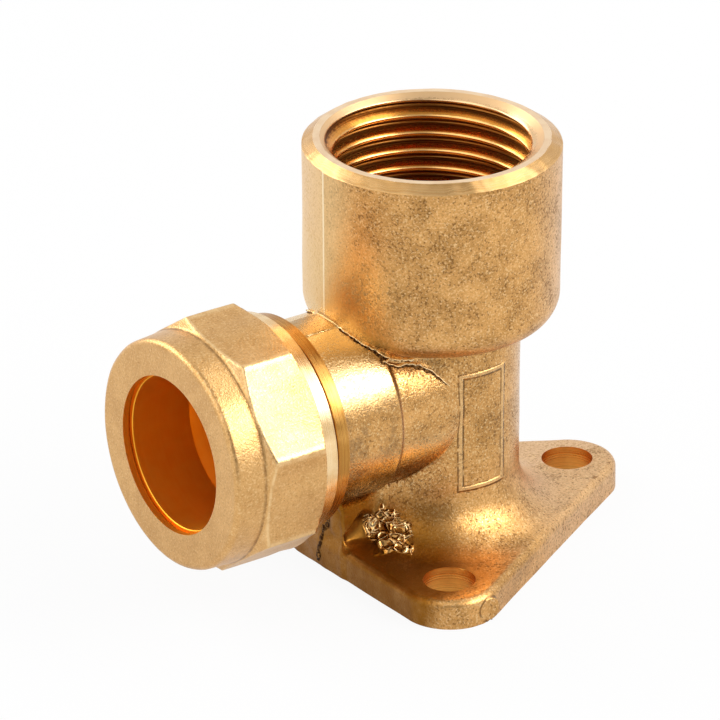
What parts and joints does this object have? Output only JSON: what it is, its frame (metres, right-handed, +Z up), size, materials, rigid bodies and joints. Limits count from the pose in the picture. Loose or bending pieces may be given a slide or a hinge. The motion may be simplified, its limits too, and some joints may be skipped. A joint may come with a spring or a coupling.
{
  "type": "wall plate elbow",
  "caption": "Forged brass elbow on a drilled wall plate, with a tapped socket on top and a compression nut on its side arm, to hold a tap and join it to a pipe.",
  "frame": {"origin": "where the tap socket's axis meets the wall plate's back face", "axes": "+Z up the tap socket away from the wall, +X out along the pipe arm"},
  "size_m": [0.0517, 0.0382, 0.0415],
  "materials": {
    "forged_brass": "tumbled forging with bright turned faces",
    "nut_brass": "tumbled forging with a bright turned back",
    "olive_brass": "smooth turned"
  },
  "bodies": {
    "elbow": {"elbow_body": "forged_brass"},
    "ring": {"olive": "olive_brass"},
    "nut": {"compression_nut": "nut_brass"}
  },
  "joints": [
    {"name": "nut_travel", "type": "slide", "parent": "elbow", "child": "ring", "axis": [1, 0, 0], "range_m": [0, 0.00634]},
    {"name": "nut_turn", "type": "hinge", "parent": "ring", "child": "nut", "pos_m": [0.0246, 0, 0.01655], "axis": [1, 0, 0], "range_deg": [0, 1260]}
  ],
  "couplings": [
    {"joint": "nut_turn", "follows": "nut_travel", "rad_per_m": 3463.7}
  ]
}
